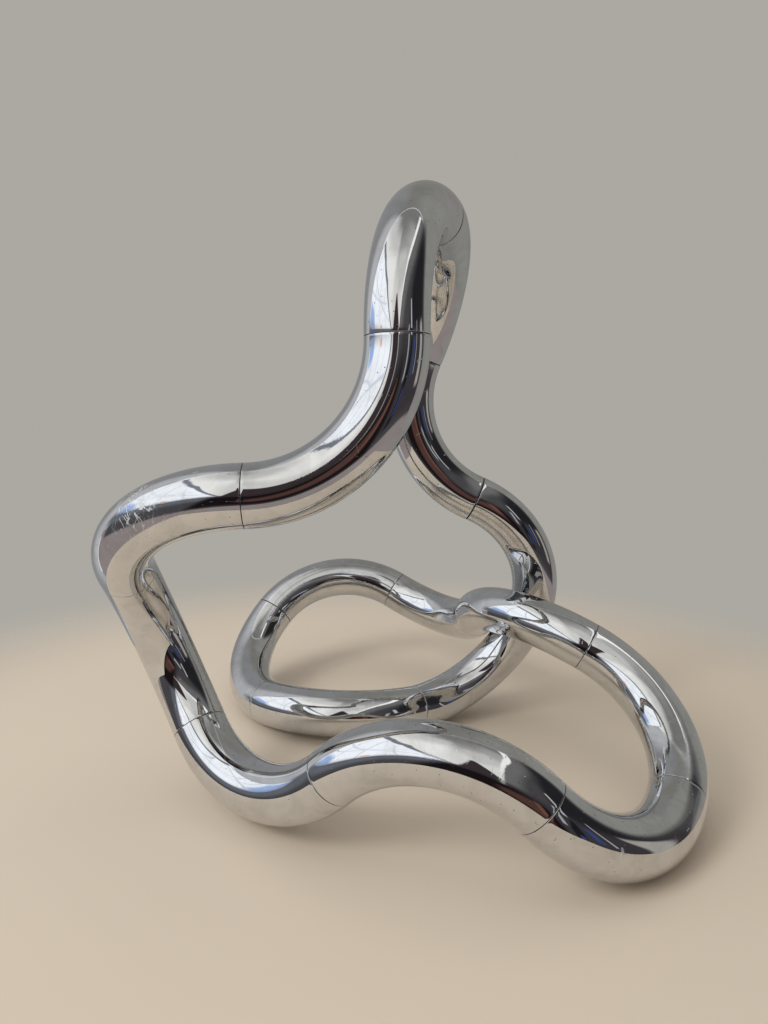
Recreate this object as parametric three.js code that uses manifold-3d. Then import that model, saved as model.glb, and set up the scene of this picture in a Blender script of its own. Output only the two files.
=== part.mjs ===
// A closed ring of chromed quarter-turn elbows, twisted into a standing knot.
// Millimetres, +Z up, with the origin on the ground under the middle of the ring.

import * as THREE from 'three';
import { mergeVertices } from 'three/addons/utils/BufferGeometryUtils.js';
import Module from 'manifold-3d';

// Driving dimensions
const tubeDiameter = 30;
const bendProportion = 7 / 3; // radius of the bend, to the middle of the tube, in tube diameters
const seamGap = 0.3; // between the end faces of neighbouring elbows
const restingFlat = 0.5; // how much of a low bend the flat under it takes off

// How far each elbow is twisted about the tube against the one before it, in degrees.
// 0 carries on round the same circle and 180 bends straight back, as in an S.
// The first elbow is the crown, and the count runs down the near side of the ring.
const elbowTurns = [25, -112, 127, 64, -45, -150, 106, -19, -124, -179, -80, 43, -47, 123, -42, -169, -107];

// The way in which the crown sets off, in degrees
const crownHeading = -109;
const crownClimb = 1;
const crownRoll = -88;

// The three low bends that carry the ring, counted from the crown
const restingElbows = [7, 12, 14];

// Fineness of the faceted solids
const tubeSides = 24;
const bendSteps = 10;

// Worked out from the above
const tubeRadius = tubeDiameter / 2;
const bendRadius = tubeDiameter * bendProportion;
const quarterTurn = Math.PI / 2;
const seamAngle = seamGap / 2 / bendRadius;
const up = new THREE.Vector3(0, 0, 1);

const chrome = {
  color: 0xd9dcde,
  metalness: 1,
  roughness: 0.06,
};

// A seam is where an elbow starts: its place, the direction of the tube ahead,
// and the direction inward, towards the centre of the bend.
function crownSeam() {
  const heading = THREE.MathUtils.degToRad(crownHeading);
  const climb = THREE.MathUtils.degToRad(crownClimb);
  const roll = THREE.MathUtils.degToRad(crownRoll);
  const ahead = new THREE.Vector3(
    Math.cos(climb) * Math.cos(heading),
    Math.cos(climb) * Math.sin(heading),
    Math.sin(climb),
  );
  const inward = new THREE.Vector3(-Math.sin(heading), Math.cos(heading), 0);
  inward.applyAxisAngle(ahead, roll);
  return { place: new THREE.Vector3(), ahead, inward };
}

function nextSeam(seam) {
  const place = seam.place.clone();
  place.addScaledVector(seam.ahead, bendRadius);
  place.addScaledVector(seam.inward, bendRadius);
  return { place, ahead: seam.inward.clone(), inward: seam.ahead.clone().negate() };
}

function twistSeam(seam, degrees) {
  seam.inward.applyAxisAngle(seam.ahead, THREE.MathUtils.degToRad(degrees));
  return seam;
}

// Follows the middle of the tube from seam to seam. The last seam ought to be the first again.
function walkRing(turns) {
  const seams = [crownSeam()];
  for (const turn of turns.slice(1)) {
    seams.push(twistSeam(nextSeam(seams.at(-1)), turn));
  }
  const last = twistSeam(nextSeam(seams.at(-1)), turns[0]);
  return { seams, last };
}

// How far the last seam misses the first: three shares of the bend radius, then three angles.
function missedClosing(first, last) {
  const gap = last.place.clone().sub(first.place).divideScalar(bendRadius);
  const twist = new THREE.Vector3();
  const axesOf = (seam) => [seam.ahead, seam.inward, seam.ahead.clone().cross(seam.inward)];
  const lastAxes = axesOf(last);
  axesOf(first).forEach((axis, index) => {
    twist.add(axis.clone().cross(lastAxes[index]).multiplyScalar(0.5));
  });
  return [...gap.toArray(), ...twist.toArray()];
}

// What a small twist at one seam does to the last seam
function effectOfTwist(seam, last) {
  const swing = seam.ahead.clone().cross(last.place.clone().sub(seam.place)).divideScalar(bendRadius);
  return [...swing.toArray(), ...seam.ahead.toArray()];
}

// Solves a small set of linear equations by elimination
function solveLinear(matrix, values) {
  const rows = matrix.map((row, index) => [...row, values[index]]);
  const size = rows.length;
  for (let pivot = 0; pivot < size; pivot += 1) {
    let best = pivot;
    for (let row = pivot + 1; row < size; row += 1) {
      if (Math.abs(rows[row][pivot]) > Math.abs(rows[best][pivot])) {
        best = row;
      }
    }
    [rows[pivot], rows[best]] = [rows[best], rows[pivot]];
    for (let row = 0; row < size; row += 1) {
      if (row !== pivot) {
        const share = rows[row][pivot] / rows[pivot][pivot];
        rows[row] = rows[row].map((value, column) => value - share * rows[pivot][column]);
      }
    }
  }
  return rows.map((row, index) => row[size] / row[index]);
}

// The turns after every seam has given way by the least that brings the ends together
function giveWay(turns, { seams, last }) {
  const missed = missedClosing(seams[0], last);
  const effects = seams.map((seam, index) => effectOfTwist(index === 0 ? last : seam, last));
  const normal = missed.map((_, row) =>
    missed.map((__, column) => effects.reduce((sum, effect) => sum + effect[row] * effect[column], 0)),
  );
  const weights = solveLinear(normal, missed);
  return turns.map((turn, index) => {
    const giving = effects[index].reduce((sum, value, row) => sum + value * weights[row], 0);
    return turn - THREE.MathUtils.radToDeg(giving);
  });
}

function openBy({ seams, last }) {
  return Math.hypot(...missedClosing(seams[0], last));
}

// The turns are given in whole degrees, which leave the ring a little open.
// Every seam gives way by a fraction of a degree, until the ends come no nearer.
function closeRing() {
  let turns = elbowTurns;
  let closest;
  let nearer = walkRing(turns);
  do {
    closest = nearer;
    turns = giveWay(turns, closest);
    nearer = walkRing(turns);
  } while (openBy(nearer) < openBy(closest));
  return closest.seams;
}

// A point on the middle of the tube, at an angle round an elbow's bend
function bendPoint(seam, angle) {
  const point = seam.place.clone();
  point.addScaledVector(seam.inward, bendRadius * (1 - Math.cos(angle)));
  point.addScaledVector(seam.ahead, bendRadius * Math.sin(angle));
  return point;
}

// The farthest point of an elbow's middle line in a direction
function farthestPoint(seam, direction) {
  const angles = [0, quarterTurn];
  const turned = Math.atan2(seam.ahead.dot(direction), -seam.inward.dot(direction));
  if (turned > 0 && turned < quarterTurn) {
    angles.push(turned);
  }
  const points = angles.map((angle) => bendPoint(seam, angle));
  points.sort((a, b) => b.dot(direction) - a.dot(direction));
  return points[0];
}

// The upward normal of the plane on which the three resting bends stand
function standingNormal(seams) {
  const down = up.clone().negate();
  const feet = restingElbows.map((number) => farthestPoint(seams[number - 1], down));
  const { normal } = new THREE.Plane().setFromCoplanarPoints(...feet);
  return normal.z < 0 ? normal.negate() : normal;
}

// Turns the ring until its three resting bends are equally low.
// The lowest points move along the bends as it turns, so it takes a few rounds.
function levelRing(seams) {
  let lean = Infinity;
  let upright = standingNormal(seams);
  while (Math.hypot(upright.x, upright.y) < lean) {
    lean = Math.hypot(upright.x, upright.y);
    const tilt = new THREE.Quaternion().setFromUnitVectors(upright, up);
    for (const seam of seams) {
      seam.place.applyQuaternion(tilt);
      seam.ahead.applyQuaternion(tilt);
      seam.inward.applyQuaternion(tilt);
    }
    upright = standingNormal(seams);
  }
}

// Moves the ring so that it stands on the ground, with the origin under its middle
function centreRing(seams) {
  const reach = new THREE.Box3();
  for (const axis of [new THREE.Vector3(1, 0, 0), new THREE.Vector3(0, 1, 0), up]) {
    for (const direction of [axis, axis.clone().negate()]) {
      for (const seam of seams) {
        reach.expandByPoint(farthestPoint(seam, direction));
      }
    }
  }
  const middle = reach.getCenter(new THREE.Vector3());
  const shift = new THREE.Vector3(-middle.x, -middle.y, tubeRadius - restingFlat - reach.min.z);
  for (const seam of seams) {
    seam.place.add(shift);
  }
}

// The middle line of an elbow in its own frame: it sets off along +Y and bends towards +X
class QuarterBend extends THREE.Curve {
  angleAt(share) {
    return seamAngle + share * (quarterTurn - 2 * seamAngle);
  }

  getPoint(share, target = new THREE.Vector3()) {
    const angle = this.angleAt(share);
    return target.set(bendRadius * (1 - Math.cos(angle)), bendRadius * Math.sin(angle), 0);
  }

  getTangent(share, target = new THREE.Vector3()) {
    const angle = this.angleAt(share);
    return target.set(Math.sin(angle), Math.cos(angle), 0);
  }
}

function elbowGeometry() {
  const section = new THREE.Shape();
  for (let side = 0; side < tubeSides; side += 1) {
    const angle = (side / tubeSides) * 2 * Math.PI;
    const corner = [tubeRadius * Math.cos(angle), tubeRadius * Math.sin(angle)];
    if (side === 0) {
      section.moveTo(...corner);
    } else {
      section.lineTo(...corner);
    }
  }
  section.closePath();
  return new THREE.ExtrudeGeometry(section, {
    steps: bendSteps,
    extrudePath: new QuarterBend(),
  });
}

function elbowMesh(seam, number) {
  const mesh = new THREE.Mesh(elbowGeometry(), new THREE.MeshStandardMaterial(chrome));
  const across = seam.inward.clone().cross(seam.ahead);
  mesh.name = `elbow_${String(number).padStart(2, '0')}`;
  mesh.position.copy(seam.place);
  mesh.quaternion.setFromRotationMatrix(new THREE.Matrix4().makeBasis(seam.inward, seam.ahead, across));
  mesh.updateMatrixWorld();
  return mesh;
}

// Booleans, by manifold-3d
const wasm = await Module();
wasm.setup();

function solidOf(geometry) {
  const bare = geometry.clone();
  bare.deleteAttribute('normal');
  bare.deleteAttribute('uv');
  const merged = mergeVertices(bare, 1e-4);
  return new wasm.Manifold(new wasm.Mesh({
    numProp: 3,
    vertProperties: new Float32Array(merged.attributes.position.array),
    triVerts: new Uint32Array(merged.index.array),
  }));
}

function geometryOf(solid) {
  const { vertProperties, triVerts } = solid.getMesh();
  const geometry = new THREE.BufferGeometry();
  geometry.setAttribute('position', new THREE.BufferAttribute(vertProperties, 3));
  geometry.setIndex(new THREE.BufferAttribute(triVerts, 1));
  geometry.computeVertexNormals();
  return geometry;
}

// Cuts off what would reach below the ground, which leaves the flat that the bend rests on
function cutRestingFlat(mesh) {
  const placed = mesh.geometry.clone().applyMatrix4(mesh.matrixWorld);
  placed.computeBoundingBox();
  const { min, max } = placed.boundingBox;
  if (min.z >= 0) {
    return;
  }
  const margin = tubeDiameter;
  const ground = new THREE.BoxGeometry(max.x - min.x + margin, max.y - min.y + margin, margin);
  ground.translate((min.x + max.x) / 2, (min.y + max.y) / 2, -margin / 2);
  const cut = geometryOf(solidOf(placed).subtract(solidOf(ground)));
  mesh.geometry = cut.applyMatrix4(mesh.matrixWorld.clone().invert());
}

const seams = closeRing();
levelRing(seams);
centreRing(seams);

const sculpture = new THREE.Group();
seams.forEach((seam, index) => {
  const elbow = elbowMesh(seam, index + 1);
  cutRestingFlat(elbow);
  sculpture.add(elbow);
});

export default sculpture;
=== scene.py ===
# Looks for a closed ring of chromed quarter-turn elbows, standing as a twisted knot.
# Metres, +Z up. Azimuth 0 looks along +Y.

import math

import bpy
import numpy as np
from mathutils import Matrix, Quaternion, Vector


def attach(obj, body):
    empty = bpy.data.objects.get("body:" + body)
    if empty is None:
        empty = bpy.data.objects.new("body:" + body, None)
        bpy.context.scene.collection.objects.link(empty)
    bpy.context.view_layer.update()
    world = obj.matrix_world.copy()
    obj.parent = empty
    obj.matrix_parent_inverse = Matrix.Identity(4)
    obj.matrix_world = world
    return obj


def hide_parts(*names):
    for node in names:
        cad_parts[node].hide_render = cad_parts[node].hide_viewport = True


millimetre = 0.001
quarterTurn = math.pi / 2
up = Vector((0, 0, 1))

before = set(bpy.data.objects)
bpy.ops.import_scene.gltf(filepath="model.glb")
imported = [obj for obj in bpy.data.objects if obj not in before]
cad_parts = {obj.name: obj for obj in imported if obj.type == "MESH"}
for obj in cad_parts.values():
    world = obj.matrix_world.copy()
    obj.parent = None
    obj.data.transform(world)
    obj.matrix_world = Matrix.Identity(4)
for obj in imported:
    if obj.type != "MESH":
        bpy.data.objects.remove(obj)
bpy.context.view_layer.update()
print("frame loaded:", len(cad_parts), "nodes")


# The camera, at the photo's viewing angle

cameraPlace = {
    "eye": (-16.1 * millimetre, -455.1 * millimetre, 221.2 * millimetre),
    "turnRight": 0.46,  # degrees from +Y
    "lookDown": 8.45,
    "rollClockwise": -0.65,
    "sensor": 36,  # the picture's long side, in the lens's own millimetres
    "lens": 26.18,
    "nearest": 10 * millimetre,  # nothing nearer than this is drawn
}


def placeCamera(place):
    data = bpy.data.cameras.new("photoCamera")
    data.sensor_width = place["sensor"]
    data.lens = place["lens"]
    data.clip_start = place["nearest"]
    camera = bpy.data.objects.new("photoCamera", data)
    bpy.context.scene.collection.objects.link(camera)
    turn = Matrix.Rotation(-math.radians(place["turnRight"]), 4, "Z")
    tilt = Matrix.Rotation(quarterTurn - math.radians(place["lookDown"]), 4, "X")
    roll = Matrix.Rotation(-math.radians(place["rollClockwise"]), 4, "Z")
    camera.matrix_world = Matrix.Translation(place["eye"]) @ turn @ tilt @ roll
    bpy.context.scene.camera = camera


placeCamera(cameraPlace)
print("camera placed")


# The ring's middle line, worked out as in the solids

ring = {
    "tubeDiameter": 30 * millimetre,
    "bendProportion": 7 / 3,  # bend radius, in tube diameters
    "seamGap": 0.3 * millimetre,
    "restingFlat": 0.5 * millimetre,
    # How far each elbow is twisted about the tube against the one before it, in degrees
    "elbowTurns": [
        25, -112, 127, 64, -45, -150, 106, -19, -124, -179, -80, 43, -47, 123, -42, -169, -107,
    ],
    "crownHeading": -109,
    "crownClimb": 1,
    "crownRoll": -88,
    "restingElbows": [7, 12, 14],
}
tubeRadius = ring["tubeDiameter"] / 2
bendRadius = ring["tubeDiameter"] * ring["bendProportion"]


class Seam:
    # Where an elbow starts: its place, the tube's direction ahead, and inward to the bend's centre
    def __init__(self, place, ahead, inward):
        self.place = place
        self.ahead = ahead
        self.inward = inward

    def following(self):
        place = self.place + bendRadius * (self.ahead + self.inward)
        return Seam(place, self.inward.copy(), -self.ahead)

    def twisted(self, degrees):
        turn = Quaternion(self.ahead, math.radians(degrees))
        return Seam(self.place, self.ahead, turn @ self.inward)

    def axes(self):
        return self.ahead, self.inward, self.ahead.cross(self.inward)

    def point(self, angle):
        aside = (1 - math.cos(angle)) * self.inward
        return self.place + bendRadius * (aside + math.sin(angle) * self.ahead)

    def tangent(self, angle):
        return math.cos(angle) * self.ahead + math.sin(angle) * self.inward

    def farthest(self, direction):
        angles = [0, quarterTurn]
        turned = math.atan2(self.ahead.dot(direction), -self.inward.dot(direction))
        if 0 < turned < quarterTurn:
            angles.append(turned)
        return max((self.point(angle) for angle in angles), key=direction.dot)


def crownSeam():
    heading = math.radians(ring["crownHeading"])
    climb = math.radians(ring["crownClimb"])
    ahead = Vector((
        math.cos(climb) * math.cos(heading),
        math.cos(climb) * math.sin(heading),
        math.sin(climb),
    ))
    level = Vector((-math.sin(heading), math.cos(heading), 0))
    return Seam(Vector((0, 0, 0)), ahead, level).twisted(ring["crownRoll"])


def walkRing(turns):
    seams = [crownSeam()]
    for turn in turns[1:]:
        seams.append(seams[-1].following().twisted(turn))
    return seams, seams[-1].following().twisted(turns[0])


def openBy(seams, last):
    gap = (last.place - seams[0].place) / bendRadius
    twist = Vector((0, 0, 0))
    for axis, lastAxis in zip(seams[0].axes(), last.axes()):
        twist += 0.5 * axis.cross(lastAxis)
    return np.array([*gap, *twist])


def giveWay(turns, seams, last):
    # Every seam gives way by the least that brings the ends together
    effects = []
    for seam in [last] + seams[1:]:
        swing = seam.ahead.cross(last.place - seam.place) / bendRadius
        effects.append([*swing, *seam.ahead])
    effects = np.array(effects)
    weights = np.linalg.solve(effects.T @ effects, openBy(seams, last))
    return turns - np.degrees(effects @ weights)


def closeRing():
    # The turns are in whole degrees, so they give way a little until the ends come no nearer
    turns = np.array(ring["elbowTurns"], dtype=float)
    closest = walkRing(turns)
    while True:
        turns = giveWay(turns, *closest)
        nearer = walkRing(turns)
        if np.linalg.norm(openBy(*nearer)) >= np.linalg.norm(openBy(*closest)):
            return closest[0]
        closest = nearer


def standingNormal(seams):
    feet = [seams[number - 1].farthest(-up) for number in ring["restingElbows"]]
    upright = (feet[1] - feet[0]).cross(feet[2] - feet[0]).normalized()
    return upright if upright.z > 0 else -upright


def levelRing(seams):
    # The lowest points move along the bends as the ring tilts, so it takes a few rounds
    lean = math.inf
    upright = standingNormal(seams)
    while upright.xy.length < lean:
        lean = upright.xy.length
        tilt = upright.rotation_difference(up)
        for seam in seams:
            seam.place = tilt @ seam.place
            seam.ahead = tilt @ seam.ahead
            seam.inward = tilt @ seam.inward
        upright = standingNormal(seams)


def centreRing(seams):
    reaches = []
    for axis in (Vector((1, 0, 0)), Vector((0, 1, 0)), up):
        values = [seam.farthest(way).dot(axis) for seam in seams for way in (axis, -axis)]
        reaches.append((min(values), max(values)))
    across, along, height = reaches
    lift = tubeRadius - ring["restingFlat"] - height[0]
    shift = Vector((-sum(across) / 2, -sum(along) / 2, lift))
    for seam in seams:
        seam.place = seam.place + shift


seams = closeRing()
levelRing(seams)
centreRing(seams)
print("ring closed and stood on its three low bends")


# Node helpers

nodeSpread = {"columns": 12, "across": 200, "down": 260}


class NodeBoard:
    # Adds nodes to one material or world, spread out in rows, and links them
    def __init__(self, tree):
        self.tree = tree
        self.count = 0

    def add(self, kind, settings=None, **inputs):
        node = self.tree.nodes.new(kind)
        row, column = divmod(self.count, nodeSpread["columns"])
        node.location = (-nodeSpread["across"] * column, -nodeSpread["down"] * row)
        self.count += 1
        for name, value in (settings or {}).items():
            setattr(node, name, value)
        for name, value in inputs.items():
            self.feed(node, name, value)
        return node

    def feed(self, node, name, value):
        # The name n0 is the first socket, and so on
        numbered = name[0] == "n" and name[1:].isdigit()
        socket = node.inputs[int(name[1:]) if numbered else name]
        if isinstance(value, bpy.types.NodeSocket):
            self.tree.links.new(value, socket)
        else:
            socket.default_value = value

    def math(self, operation, first, second=0.0):
        return self.add("ShaderNodeMath", {"operation": operation}, n0=first, n1=second).outputs[0]

    def vectorMath(self, operation, first, second=None):
        inputs = {"n0": first} if second is None else {"n0": first, "n1": second}
        return self.add("ShaderNodeVectorMath", {"operation": operation}, **inputs).outputs

    def ramp(self, value, low, high, toLow=0.0, toHigh=1.0):
        limits = {"n1": low, "n2": high, "n3": toLow, "n4": toHigh}
        node = self.add("ShaderNodeMapRange", {"interpolation_type": "SMOOTHSTEP"}, n0=value, **limits)
        return node.outputs[0]

    def noise(self, vector, scale, detail=2.0, roughness=0.5, distortion=0.0):
        node = self.add(
            "ShaderNodeTexNoise", None,
            Vector=vector, Scale=scale, Detail=detail, Roughness=roughness, Distortion=distortion,
        )
        return node.outputs["Fac"]

    def mixColour(self, factor, first, second):
        node = self.add("ShaderNodeMix", {"data_type": "RGBA"}, Factor=factor, n6=first, n7=second)
        return node.outputs[2]


def newMaterial(name):
    material = bpy.data.materials.new(name)
    material.use_nodes = True
    tree = material.node_tree
    tree.nodes.clear()
    output = tree.nodes.new("ShaderNodeOutputMaterial")
    return material, NodeBoard(tree), output


# The chrome, and the painted shade in the seams: a dark matte line that stands in for the shade in the
# grooves

chromeFinish = {
    "plate": (0.68, 0.69, 0.70, 1),
    "film": (0.585, 0.59, 0.59, 1),  # where hands have left a thin film
    "pitDark": (0.07, 0.07, 0.075, 1),
    "dustPale": (0.86, 0.86, 0.84, 1),
    "mirrorRoughness": 0.018,
    "rubbedRoughness": 0.085,
    "dustRoughness": 0.5,
    "metalLost": 0.7,  # how much less of a metal the dust and the scratches are
    "settlesOn": (-0.45, 0.6),  # how far up a spot faces where dust and rubbing begin, and are full
    # Patches: a noise by its scale, detail, roughness and distortion, and where it begins and is full
    "rubbedPatches": ((21, 3, 0.6, 0.4), (0.46, 0.66)),
    "filmPatches": ((70, 5, 0.65, 0.8), (0.38, 0.72)),
    "pittedPatches": ((17, 1), (0.38, 0.62, 0.12, 1.0)),  # and the share of pits outside and inside
    "flecks": ((1300, 2), (0.61, 0.69, 0.0, 0.45)),  # the faint grain of the scratched spot
    # Relief
    "waveHeight": 0.008 * millimetre,
    "waveNoise": (55, 1),
    "peelHeight": 0.0007 * millimetre,
    "peelNoise": (420, 1),
    "rubbedHeight": 0.02 * millimetre,
    "rubbedNoise": (850, 2, 0.7),
    "pitDepth": 0.05 * millimetre,
    "pitStrength": 0.6,
    # Pits and dust
    "pitRadius": 0.33 * millimetre,
    "pitSpacing": 3.4 * millimetre,
    "dustSize": 0.8,  # against the pits
    "dustSpacing": 2.4 * millimetre,
    "dustShare": 0.05,  # of the cells that hold a grain
    "speckCore": 0.5,  # the share of a speck's radius that is full
    # Hairline scratches: their scale, half width, and how much of them is broken off
    "hairlines": (38, 0.0035, 0.60),
    "hairlinePaleness": 0.6,
    "hairlineNoise": (1, 0.4, 0.2),  # detail, roughness and distortion
    "hairlineCore": 0.3,  # the share of their width that is full
    "breaks": (170, 2),  # the noise that breaks them off
    "breakEdge": 0.05,
    # The scratched spot on the shoulder
    "scratchedElbow": 3,
    "scratchSpot": (0.4, -155),  # the share along the elbow, and the degrees round it
    "scratchReach": 21 * millimetre,
    "scratchCore": 0.3,  # the share of the reach that is fully scratched
    "rubbedRound": (2.2, 0.6),  # where the rubbing round it ends and is full, against the reach
    "scratchLeans": (0.3, -0.8),  # how far the strokes lean along the tube
    "strokeScales": (230, 300),
    "strokes": (0.022, 0.47),  # half width, and how much of them is broken off
    "strokeDraw": 0.86,  # how far the strokes are drawn out
    "scratchPaleness": 0.8,
}

# Painted seam shade: a dark matte colour on the groove faces that stands in for their shade, with a
# faint grain
seamShadeFinish = {
    "dark": (0.02, 0.018, 0.017),
    "paler": 3,  # how much paler its palest grains are
    "grains": (900, 3, 0.6),  # scale, detail and roughness of their noise
    "roughness": (0.3, 0.7, 0.55, 0.85),  # between these two values of it, from the third to the last
}


def chromePlate(finish, scratchedAt, scratchWays):
    material, board, output = newMaterial("chromePlate")
    coordinates = board.add("ShaderNodeTexCoord").outputs["Object"]
    normal = board.add("ShaderNodeNewGeometry").outputs["Normal"]
    height = board.add("ShaderNodeSeparateXYZ", None, Vector=normal).outputs["Z"]
    facingUp = board.ramp(height, *finish["settlesOn"])

    def patches(noise, limits):
        return board.ramp(board.noise(coordinates, *noise), *limits)

    # Rubbed patches, the film left by hands, and the scratched shoulder
    rubbed = patches(*finish["rubbedPatches"])
    rubbed = board.math("MULTIPLY", rubbed, facingUp)
    film = patches(*finish["filmPatches"])
    away = board.vectorMath("DISTANCE", coordinates, tuple(scratchedAt))["Value"]
    reach = finish["scratchReach"]
    scratched = board.ramp(away, reach, reach * finish["scratchCore"])
    ends, full = finish["rubbedRound"]
    rubbed = board.math("MAXIMUM", rubbed, board.ramp(away, reach * ends, reach * full))

    # Pits and dust sit in some of the cells of their own grids
    def specks(spacing, radius, share):
        cells = board.add("ShaderNodeTexVoronoi", None, Vector=coordinates, Scale=1 / spacing)
        chance = board.add("ShaderNodeSeparateColor", None, Color=cells.outputs["Color"]).outputs["Red"]
        chosen = board.math("LESS_THAN", chance, share)
        edge = radius / spacing
        inside = board.ramp(cells.outputs["Distance"], edge, edge * finish["speckCore"])
        return board.math("MULTIPLY", chosen, inside)

    pitted = patches(*finish["pittedPatches"])
    pits = specks(finish["pitSpacing"], finish["pitRadius"], pitted)
    dustRadius = finish["pitRadius"] * finish["dustSize"]
    dust = specks(finish["dustSpacing"], dustRadius, finish["dustShare"])
    dust = board.math("MULTIPLY", dust, facingUp)

    # Hairline scratches are thin level lines of one noise, broken up by another
    def hairlines(vector, scale, width, share):
        field = board.noise(vector, scale, *finish["hairlineNoise"])
        offset = board.math("ABSOLUTE", board.math("SUBTRACT", field, 0.5))
        line = board.ramp(offset, width, width * finish["hairlineCore"])
        broken = patches(finish["breaks"], (share, share + finish["breakEdge"]))
        return board.math("MULTIPLY", line, broken)

    def drawnOut(way):
        # Coordinates in which every pattern is drawn out along one way
        share = board.vectorMath("DOT_PRODUCT", coordinates, way)["Value"]
        drawn = board.math("MULTIPLY", share, -finish["strokeDraw"])
        part = board.add("ShaderNodeVectorMath", {"operation": "SCALE"}, n0=way, Scale=drawn).outputs[0]
        return board.vectorMath("ADD", coordinates, part)[0]

    strokes = None
    for way, scale in zip(scratchWays, finish["strokeScales"]):
        lines = hairlines(drawnOut(tuple(way)), scale, *finish["strokes"])
        strokes = lines if strokes is None else board.math("MAXIMUM", strokes, lines)
    strokes = board.math("MAXIMUM", strokes, patches(*finish["flecks"]))
    scratches = board.math("MULTIPLY", strokes, scratched)
    fine = hairlines(coordinates, *finish["hairlines"])
    fine = board.math("MULTIPLY", fine, finish["hairlinePaleness"])
    scratches = board.math("MAXIMUM", scratches, fine)

    # Colour, gloss and metal
    pale = board.math("MULTIPLY", scratches, finish["scratchPaleness"])
    pale = board.math("MAXIMUM", dust, pale)
    colour = board.mixColour(film, finish["plate"], finish["film"])
    colour = board.mixColour(pits, colour, finish["pitDark"])
    colour = board.mixColour(pale, colour, finish["dustPale"])
    roughness = board.ramp(rubbed, 0, 1, finish["mirrorRoughness"], finish["rubbedRoughness"])
    dusty = board.math("MULTIPLY", pale, finish["dustRoughness"])
    roughness = board.math("MAXIMUM", roughness, dusty)
    metal = board.math("SUBTRACT", 1.0, board.math("MULTIPLY", pale, finish["metalLost"]))

    # Relief: slow waves of the tube, the plating's peel, fine rubbing, then pits and scratches
    def relief(distance, heights, strength=1.0, under=None, sunk=False):
        inputs = {"Strength": strength, "Distance": distance, "Height": heights}
        node = board.add("ShaderNodeBump", {"invert": sunk}, **inputs)
        if under:
            board.feed(node, "Normal", under)
        return node.outputs[0]

    shape = relief(finish["waveHeight"], board.noise(coordinates, *finish["waveNoise"]))
    shape = relief(finish["peelHeight"], board.noise(coordinates, *finish["peelNoise"]), under=shape)
    grain = board.noise(coordinates, *finish["rubbedNoise"])
    shape = relief(finish["rubbedHeight"], grain, rubbed, shape)
    sunken = board.math("MAXIMUM", pits, scratches)
    shape = relief(finish["pitDepth"], sunken, finish["pitStrength"], shape, True)

    gloss = {"Metallic": metal, "Roughness": roughness, "Normal": shape}
    shader = board.add("ShaderNodeBsdfPrincipled", None, **gloss)
    board.feed(shader, "Base Color", colour)
    board.tree.links.new(shader.outputs[0], output.inputs["Surface"])
    return material


# The painted seam shade: dark and matte, with a faint grain in its colour and roughness
def paintedSeamShade(finish):
    material, board, output = newMaterial("paintedSeamShade")
    coordinates = board.add("ShaderNodeTexCoord").outputs["Object"]
    grains = board.noise(coordinates, *finish["grains"])
    dark = (*finish["dark"], 1)
    paler = (*(finish["paler"] * value for value in finish["dark"]), 1)
    roughness = board.ramp(grains, *finish["roughness"])
    shader = board.add("ShaderNodeBsdfPrincipled", None, Roughness=roughness)
    board.feed(shader, "Base Color", board.mixColour(grains, dark, paler))
    board.tree.links.new(shader.outputs[0], output.inputs["Surface"])
    return material


# The elbows

elbowShape = {
    "sides": 96,
    "rows": 96,
    "lip": 0.2 * millimetre,  # rounding at the rim of each end
    "lipRows": 5,
    "spigotSink": 0.45 * millimetre,  # how far below the tube's surface the seam's bottom lies
    "spigotReach": 0.22 * millimetre,  # how far it bridges the gap
    # Seams that stand a little open: the elbow that starts there, and by how much on either side
    "openSeams": {
        1: 0.45 * millimetre,
        12: 0.15 * millimetre,
        16: 0.25 * millimetre,
        17: 0.15 * millimetre,
    },
}


def elbowProfile(shape, number):
    # Circles along the bend: angle, radius, and whether the band after each is bright chrome; the
    # others carry the painted seam shade
    gapAngle = ring["seamGap"] / 2 / bendRadius
    lipAngle = shape["lip"] / bendRadius
    openHere = shape["openSeams"].get(number, 0)
    openNext = shape["openSeams"].get(number % len(seams) + 1, 0)
    first = gapAngle + openHere / bendRadius
    last = quarterTurn - gapAngle - openNext / bendRadius
    inner = tubeRadius - shape["lip"]
    bottom = tubeRadius - shape["spigotSink"]
    circles = [
        (gapAngle - shape["spigotReach"] / bendRadius, bottom, False),
        (first, bottom, False),
    ]
    for row in range(shape["lipRows"] + 1):
        turn = quarterTurn * row / shape["lipRows"]
        angle = first + lipAngle * (1 - math.cos(turn))
        circles.append((angle, inner + shape["lip"] * math.sin(turn), True))
    for row in range(1, shape["rows"]):
        share = row / shape["rows"]
        angle = first + lipAngle + share * (last - first - 2 * lipAngle)
        circles.append((angle, tubeRadius, True))
    for row in range(shape["lipRows"] + 1):
        turn = quarterTurn * (1 - row / shape["lipRows"])
        angle = last - lipAngle * (1 - math.cos(turn))
        bright = row < shape["lipRows"]
        circles.append((angle, inner + shape["lip"] * math.sin(turn), bright))
    circles.append((last, bottom, False))
    if openNext:
        circles.append((quarterTurn - gapAngle, bottom, False))
    return circles


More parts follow.
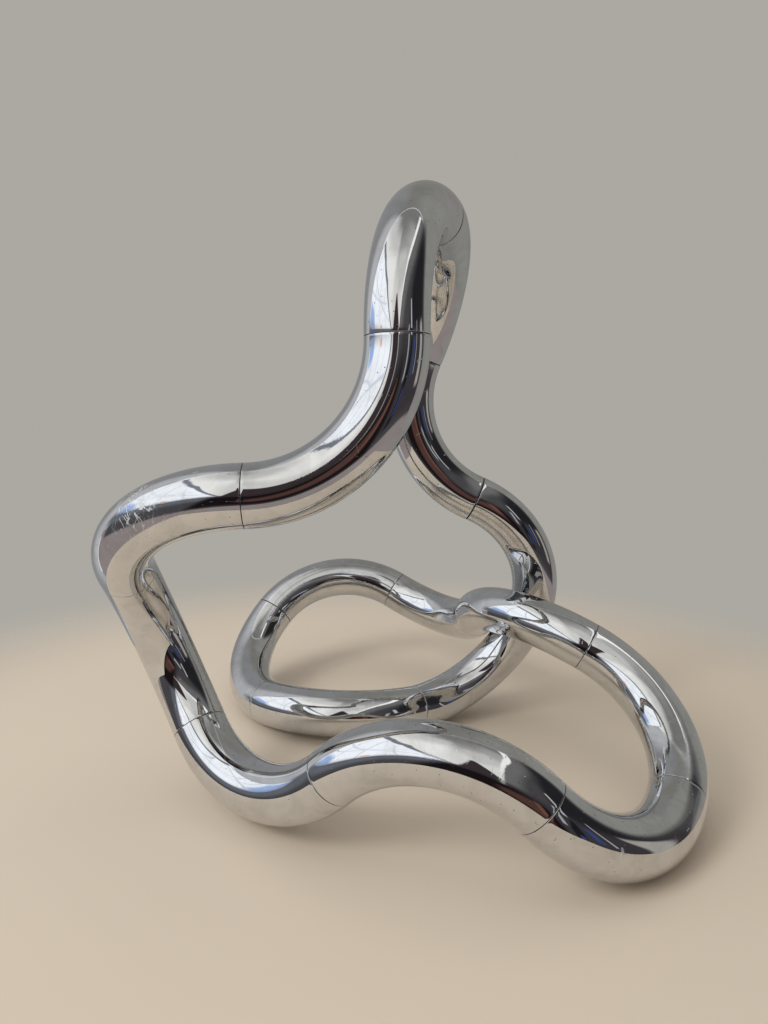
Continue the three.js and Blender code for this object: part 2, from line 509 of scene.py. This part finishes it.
def elbowMesh(name, number, seam, shape):
    circles = elbowProfile(shape, number)
    sides = shape["sides"]
    across = seam.inward.cross(seam.ahead)
    points = []
    for angle, radius, _ in circles:
        centre = seam.point(angle)
        outward = seam.tangent(angle).cross(across)
        for side in range(sides):
            turn = 2 * math.pi * side / sides
            points.append(centre + radius * (math.cos(turn) * outward + math.sin(turn) * across))
    faces = []
    bright = []
    for row in range(len(circles) - 1):
        for side in range(sides):
            after = (side + 1) % sides
            start = row * sides
            faces.append((start + side, start + sides + side, start + sides + after, start + after))
            bright.append(circles[row][2])
    faces.append(tuple(range(sides)))
    faces.append(tuple(reversed(range((len(circles) - 1) * sides, len(circles) * sides))))
    bright += [False, False]
    for point in points:
        point.z = max(point.z, 0)
    mesh = bpy.data.meshes.new(name)
    mesh.from_pydata(points, [], faces)
    mesh.polygons.foreach_set("use_smooth", bright)
    # Chrome on the bright bands, and the painted seam shade on the groove faces
    mesh.polygons.foreach_set("material_index", [0 if shown else 1 for shown in bright])
    mesh.update()
    return mesh


def scratchedPlace(finish, seam):
    # The middle of the scratches, and the two ways in which they run
    along, around = finish["scratchSpot"]
    angle = along * quarterTurn
    tangent = seam.tangent(angle)
    across = seam.inward.cross(seam.ahead)
    outward = tangent.cross(across)
    turn = math.radians(around)
    standing = math.cos(turn) * outward + math.sin(turn) * across
    level = tangent.cross(standing)
    ways = [(level + lean * tangent).normalized() for lean in finish["scratchLeans"]]
    return seam.point(angle) + tubeRadius * standing, ways


scratchedSeam = seams[chromeFinish["scratchedElbow"] - 1]
chrome = chromePlate(chromeFinish, *scratchedPlace(chromeFinish, scratchedSeam))
# The painted shade for the seams
seamShade = paintedSeamShade(seamShadeFinish)
print("finishes made")

for number, seam in enumerate(seams, start=1):
    mesh = elbowMesh(f"chromedElbow_{number:02d}", number, seam, elbowShape)
    mesh.materials.append(chrome)
    mesh.materials.append(seamShade)
    elbow = bpy.data.objects.new(mesh.name, mesh)
    bpy.context.scene.collection.objects.link(elbow)
    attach(elbow, "root")
    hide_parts(f"elbow_{number:02d}")
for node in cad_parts.values():
    node.data.materials.clear()
    node.data.materials.append(chrome)
print("elbows made:", len(seams))


# The floor and the studio

studio = {
    "floorRadius": 0.52,
    "floorSides": 128,
    "floorClear": 0.27,  # the floor starts to fade this far out
    "floorGone": 0.98,  # the share of the radius at which it has faded away
    "floorColour": (0.74, 0.63, 0.50, 1),
    "floorRoughness": 0.6,
    # The chrome mirrors this much of the floor: its middle, its half width and depth, its corners
    "mirroredMiddle": (-0.004, -0.063, 0),
    "mirroredHalf": (0.258, 0.263, 0),
    "mirroredCorner": 0.03,
    "mirroredEdge": 1 * millimetre,
    "backdrop": (0.41, 0.395, 0.36, 1),
    # What the chrome mirrors round about: cards painted one over the other. Each has its corners,
    # as azimuth and height in degrees and anticlockwise, how soft its edge is, and its colour.
    # Azimuth 0 is the camera's side and -90 the left.
    "front": (0.25, 0.245, 0.24, 1),
    "frontCards": {
        "upperScreen": ([(-112, -30), (80, -30), (80, 72), (-112, 72)], 32, (0.55, 0.54, 0.52, 1)),
        "screen": ([(-116, -30), (116, -30), (116, 50), (-116, 50)], 28, (0.92, 0.90, 0.86, 1)),
        "upperLeft": ([(-125, -30), (-12, -30), (-12, 78), (-125, 78)], 18, (0.78, 0.77, 0.75, 1)),
        "leftScreen": ([(-118, -30), (-18, -30), (-18, 60), (-118, 60)], 16, (1.12, 1.10, 1.06, 1)),
        "screenShade": ([(-3, 32), (26, 45), (30, 62), (-3, 62)], 10, (0.72, 0.705, 0.68, 1)),
    },
    "back": (0.258, 0.252, 0.235, 1),
    "backCards": {
        "backFar": ([(-175, -60), (-120, -60), (-120, 70), (-175, 70)], 24, (0.30, 0.30, 0.305, 1)),
        "backLeft": ([(-128, -60), (-98, -60), (-98, 70), (-128, 70)], 20, (0.60, 0.60, 0.62, 1)),
        "backRight": ([(100, -40), (146, -40), (146, 64), (100, 64)], 24, (0.31, 0.305, 0.285, 1)),
    },
    "backLean": 0.18,  # how far behind straight overhead the back ends
    "backEdge": 0.006,  # how soft its end is
    "backRim": (0.70, 0.70, 0.68, 1),  # the bright line along its end
    "backRimReach": (0.012, 0.004),  # how far from the middle of the line it ends, and is full
    "cards": {
        "lowBand": ([(-128, -60), (112, -60), (112, -5), (-112, -5)], 3, (0.34, 0.29, 0.28, 1)),
        "lowLine": ([(-113.5, -10), (-122, -38), (-120, -38), (-111.5, -10)], 0.8, (1.0, 1.0, 1.0, 1)),
        "lowCard": (
            [(-106, 9), (-106, -14), (-65, -23), (-20, -27), (100, -20), (100, 9)], 3,
            (0.085, 0.080, 0.085, 1),
        ),
        "boxFrame": (
            [(-108, 8), (-17, 8), (-33, 28), (-43.5, 41), (-71, 52), (-97, 55)], 1.5,
            (0.26, 0.275, 0.325, 1),
        ),
        "mainBox": (
            [(-108, 8), (-20, 8), (-37, 28), (-48, 38), (-72, 48), (-97, 51)], 1.5,
            (1.26, 1.30, 1.36, 1),
        ),
        "coolBox": ([(-107, 8), (-82, 8), (-88, 17), (-103, 19)], 5, (0.46, 0.64, 1.05, 1)),
        "warmSpot": ([(-60, 10), (-54, 10), (-54, 12.5), (-60, 12.5)], 1.5, (1.25, 0.62, 0.34, 1)),
        "barLeft": ([(-85.5, 8), (-84, 8), (-90, 50), (-91.5, 50)], 1.2, (0.84, 0.88, 0.98, 1)),
        "barMiddle": ([(-62, 8), (-61, 8), (-72, 48), (-73.5, 48)], 1.2, (0.76, 0.82, 0.95, 1)),
        "barRight": ([(-40, 8), (-39, 8), (-52, 36), (-53, 36)], 1.2, (0.90, 0.93, 1.0, 1)),
        "shelf": ([(-100, 33), (-26, 15), (-26, 16), (-100, 34.5)], 1.2, (0.88, 0.93, 1.05, 1)),
        "shelfLow": ([(-104, 22), (-40, 26), (-40, 27), (-104, 23.5)], 1.2, (0.95, 1.0, 1.1, 1)),
        "lowHaze": ([(-112, -2), (-19, -2), (-19, 9), (-112, 9)], 9, (0.17, 0.18, 0.21, 1)),
        "post": (
            [(-19, 6), (6, 6), (3.5, 18), (1, 27), (-2.5, 35), (-6.5, 35), (-12, 21)], 2.5,
            (0.052, 0.038, 0.042, 1),
        ),
        "cardRim": (
            [(-0.5, 4), (100.3, 4), (103.5, 61.5), (80, 61), (54, 58.5), (38.5, 54), (25.5, 46),
             (14.5, 34), (6.5, 20)], 1.2,
            (1.2, 1.2, 1.16, 1),
        ),
        "darkCard": (
            [(1, 4), (100.5, 4), (103.5, 57), (80, 56.5), (55, 54), (40, 50.5), (27, 43.5),
             (16, 33), (8, 20)], 1.5,
            (0.200, 0.192, 0.192, 1),
        ),
        "darkInner": (
            [(10, 4), (100, 4), (103, 50), (80, 49), (57, 46), (43, 42), (31, 35), (20, 24)], 16,
            (0.082, 0.078, 0.082, 1),
        ),
        "darkSide": ([(40, 8), (98, 8), (104, 46), (76, 44), (54, 36)], 18, (0.022, 0.022, 0.025, 1)),
        "darkFoot": ([(2, -18), (100, -18), (100, 12), (2, 12)], 10, (0.055, 0.050, 0.055, 1)),
        "blackFoot": ([(-36, -23), (34, -23), (26, 6), (-24, 6)], 8, (0.014, 0.009, 0.010, 1)),
        "brownCard": ([(-8, -14), (19, -14), (20, 3), (13, 3), (-5, -5)], 6, (0.105, 0.052, 0.044, 1)),
        "brownLine": ([(13, -9), (18, -9), (20, 4), (15.5, 4)], 3, (0.19, 0.088, 0.066, 1)),
        "stripMiddle": ([(47.5, 12), (51.5, 12), (52, 27), (48.5, 27)], 1.5, (0.60, 0.60, 0.61, 1)),
        "stripLow": ([(34, 0), (38, 0), (43, 15), (39.5, 15)], 1.5, (0.46, 0.46, 0.47, 1)),
        "stripBlack": (
            [(37, -16), (44, -16), (53, 10), (49, 10), (40, 0)], 2,
            (0.016, 0.016, 0.020, 1),
        ),
        "stripBlueLow": ([(40, -12), (44, -12), (47, -4), (43, -4)], 2, (0.05, 0.07, 0.20, 1)),
        "stripBlue": ([(56, -3), (61, -3), (63, 9), (58, 9)], 2, (0.05, 0.08, 0.24, 1)),
        "stripThin": ([(66, -3), (67.5, -3), (71, 15), (69.5, 15)], 1, (0.50, 0.50, 0.52, 1)),
        "paleRight": ([(82, -9), (93, -9), (93, 13), (84, 13)], 3, (0.46, 0.43, 0.40, 1)),
    },
    # These only light the floor and the dust. Name, place, size, watts, colour.
    "fills": [
        ("topFill", (0.0, 0.1, 1.5), (1.4, 1.4), 4, (1.0, 0.99, 0.97)),
        ("leftFill", (-1.1, -0.9, 1.1), (0.6, 0.6), 11, (1.0, 1.0, 1.0)),
    ],
    "aim": (0, 0, 0.1),
}


def makeFloor(settings):
    radius = settings["floorRadius"]
    sides = settings["floorSides"]
    bpy.ops.mesh.primitive_circle_add(vertices=sides, radius=radius, fill_type="NGON")
    floor = bpy.context.object
    floor.name = "paleFloor"
    material, board, output = newMaterial("paleFloor")
    coordinates = board.add("ShaderNodeTexCoord").outputs["Object"]
    far = board.vectorMath("LENGTH", coordinates)["Value"]
    seen = board.ramp(far, settings["floorClear"], radius * settings["floorGone"])

    # The rectangle with rounded corners that the chrome mirrors
    corner = settings["mirroredCorner"]
    edge = settings["mirroredEdge"]
    square = tuple(max(half - corner, 0) for half in settings["mirroredHalf"])
    offset = board.vectorMath("SUBTRACT", coordinates, settings["mirroredMiddle"])[0]
    offset = board.vectorMath("ABSOLUTE", offset)[0]
    outside = board.vectorMath("SUBTRACT", offset, square)[0]
    outside = board.vectorMath("MAXIMUM", outside, (0, 0, 0))[0]
    outside = board.vectorMath("LENGTH", outside)["Value"]
    mirrored = board.ramp(outside, corner - edge, corner + edge)

    glossy = board.add("ShaderNodeLightPath").outputs["Is Glossy Ray"]
    clear = board.add("ShaderNodeMix", None, Factor=glossy, n2=seen, n3=mirrored).outputs[0]
    shader = board.add("ShaderNodeBsdfPrincipled", None, Roughness=settings["floorRoughness"])
    board.feed(shader, "Base Color", settings["floorColour"])
    nothing = board.add("ShaderNodeBsdfTransparent")
    layers = {"n1": shader.outputs[0], "n2": nothing.outputs[0]}
    mix = board.add("ShaderNodeMixShader", None, n0=clear, **layers)
    board.tree.links.new(mix.outputs[0], output.inputs["Surface"])
    floor.data.materials.append(material)


def makeWorld(settings):
    # Seen straight on it is a plain backdrop, and in the chrome it is the cards
    world = bpy.data.worlds.new("studioWorld")
    world.use_nodes = True
    bpy.context.scene.world = world
    tree = world.node_tree
    tree.nodes.clear()
    board = NodeBoard(tree)
    way = board.add("ShaderNodeTexCoord").outputs["Generated"]
    parts = board.add("ShaderNodeSeparateXYZ", None, Vector=way).outputs
    towards = board.math("MULTIPLY", parts["Y"], -1.0)
    azimuth = board.math("DEGREES", board.math("ARCTAN2", parts["X"], towards))
    height = board.math("DEGREES", board.math("ARCSINE", parts["Z"]))

    # The third part is 1, so that one dot product gives the distance from a side
    place = board.add("ShaderNodeCombineXYZ", None, X=azimuth, Y=height, Z=1.0).outputs[0]

    def within(corners, edge):
        inside = None
        for (left, low), (right, high) in zip(corners, corners[1:] + corners[:1]):
            run = right - left
            rise = high - low
            length = math.hypot(run, rise)
            side = (-rise / length, run / length, (rise * left - run * low) / length)
            depth = board.vectorMath("DOT_PRODUCT", place, side)["Value"]
            cut = board.ramp(depth, -edge / 2, edge / 2)
            inside = cut if inside is None else board.math("MULTIPLY", inside, cut)
        return inside

    def paint(painted, cards):
        for corners, edge, colour in cards.values():
            painted = board.mixColour(within(corners, edge), painted, colour)
        return painted

    front = paint(settings["front"], settings["frontCards"])
    back = paint(settings["back"], settings["backCards"])
    ending = board.math("MULTIPLY", parts["Z"], settings["backLean"])
    ending = board.math("SUBTRACT", parts["Y"], ending)
    behind = board.ramp(ending, -settings["backEdge"], settings["backEdge"])
    painted = board.mixColour(behind, front, back)
    rim = board.ramp(board.math("ABSOLUTE", ending), *settings["backRimReach"])
    painted = board.mixColour(rim, painted, settings["backRim"])
    painted = paint(painted, settings["cards"])

    seen = board.add("ShaderNodeLightPath").outputs["Is Camera Ray"]
    plain = board.add("ShaderNodeBackground", None, Color=settings["backdrop"])
    mirrored = board.add("ShaderNodeBackground", None, Color=painted)
    mix = board.add("ShaderNodeMixShader", None, n0=seen, n1=mirrored.outputs[0], n2=plain.outputs[0])
    output = board.add("ShaderNodeOutputWorld")
    tree.links.new(mix.outputs[0], output.inputs["Surface"])


def makeFills(settings):
    aim = Vector(settings["aim"])
    for name, place, size, watts, colour in settings["fills"]:
        data = bpy.data.lights.new(name, "AREA")
        data.shape = "RECTANGLE"
        data.size, data.size_y = size
        data.energy = watts
        data.color = colour
        light = bpy.data.objects.new(name, data)
        light.location = place
        light.rotation_euler = (aim - Vector(place)).to_track_quat("-Z", "Y").to_euler()
        light.visible_camera = False
        light.visible_glossy = False
        bpy.context.scene.collection.objects.link(light)


makeFloor(studio)
makeWorld(studio)
makeFills(studio)
bpy.context.scene.view_settings.view_transform = "Standard"
print("studio lit")
